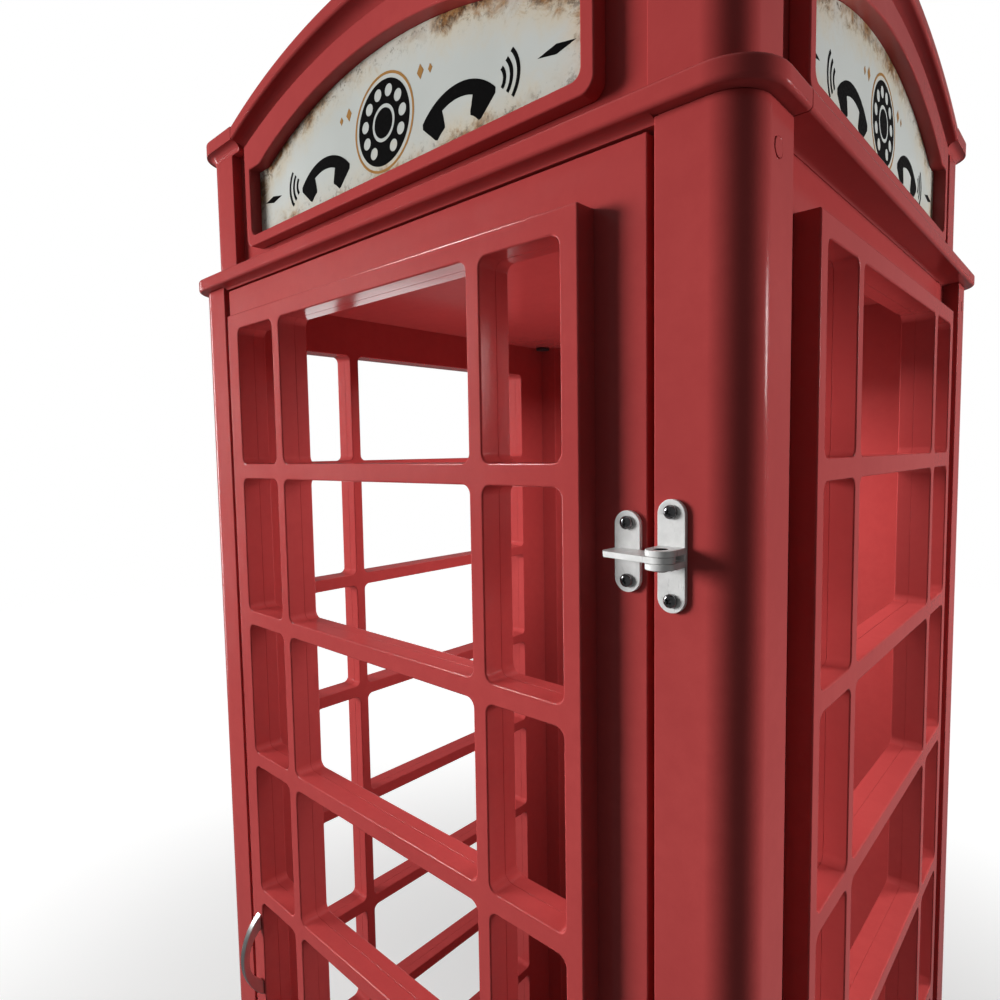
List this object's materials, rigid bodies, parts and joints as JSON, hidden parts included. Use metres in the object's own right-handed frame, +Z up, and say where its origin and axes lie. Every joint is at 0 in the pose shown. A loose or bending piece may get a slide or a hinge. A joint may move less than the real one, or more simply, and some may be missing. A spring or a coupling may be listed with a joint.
{
  "type": "telephone booth",
  "caption": "Square red timber telephone booth with a hinged door and side walls of open panes, arched sign boards, stepped cornices and a domed roof.",
  "frame": {"origin": "on the ground under the middle of the cabin, on the lower face of the middle glide", "axes": "+Z up, the door's side faces -Y, +X to the right of a person facing the door (the hinge side)"},
  "size_m": [0.9088, 0.9452, 2.3818],
  "materials": {
    "red_paint": "satin red paint on board",
    "bare_timber": "planed, unpainted",
    "hinge_metal": "satin light grey coating",
    "black_steel": "blackened, worn",
    "dark_chrome": "dark chrome",
    "satin_steel": "satin brushed",
    "sign_face": "printed, aged at the edges",
    "black_rubber": "matt",
    "black_plastic": "matt"
  },
  "bodies": {
    "cabin": {"glides": "black_rubber", "corner_blocks": "bare_timber", "floor_bearer": "bare_timber", "plinth_boards": "red_paint", "floor_board": "red_paint", "post_front_right": "red_paint", "post_back_right": "red_paint", "post_back_left": "red_paint", "post_front_left": "red_paint", "post_plugs": "red_paint", "side_board_right": "red_paint", "side_board_left": "red_paint", "back_board": "red_paint", "side_frame_right": "red_paint", "side_frame_left": "red_paint", "back_panel": "red_paint", "hinge_post_leaf_top": "hinge_metal", "hinge_post_leaf_middle": "hinge_metal", "hinge_post_leaf_bottom": "hinge_metal", "hinge_pins": "black_steel", "hinge_post_screws": "dark_chrome", "door_stop_left": "red_paint", "door_stop_right": "red_paint", "door_stop_head": "red_paint", "magnet_catch": "black_plastic", "ceiling_board": "red_paint", "ceiling_caps": "black_plastic", "bed_moulds": "red_paint", "lower_cornice_front": "red_paint", "lower_cornice_right": "red_paint", "lower_cornice_back": "red_paint", "lower_cornice_left": "red_paint", "upper_post_front_right": "red_paint", "upper_post_back_right": "red_paint", "upper_post_back_left": "red_paint", "upper_post_front_left": "red_paint", "attic_board_front": "red_paint", "attic_board_right": "red_paint", "attic_board_back": "red_paint", "attic_board_left": "red_paint", "sign_frame_front": "red_paint", "sign_frame_right": "red_paint", "sign_frame_back": "red_paint", "sign_frame_left": "red_paint", "sign_panels": "sign_face", "arch_front": "red_paint", "arch_right": "red_paint", "arch_back": "red_paint", "arch_left": "red_paint", "cornice_corners": "red_paint", "roof_dome": "red_paint"},
    "door": {"door_board": "red_paint", "door_frame": "red_paint", "door_handle": "satin_steel", "handle_screws": "satin_steel", "hinge_door_leaf_top": "hinge_metal", "hinge_door_leaf_middle": "hinge_metal", "hinge_door_leaf_bottom": "hinge_metal", "hinge_door_screws": "dark_chrome", "strike_plate": "satin_steel"}
  },
  "joints": [
    {"name": "door_swing", "type": "hinge", "parent": "cabin", "child": "door", "pos_m": [0.3805, -0.4608, 1.1115], "axis": [0, 0, 1], "range_deg": [0, 120]}
  ]
}
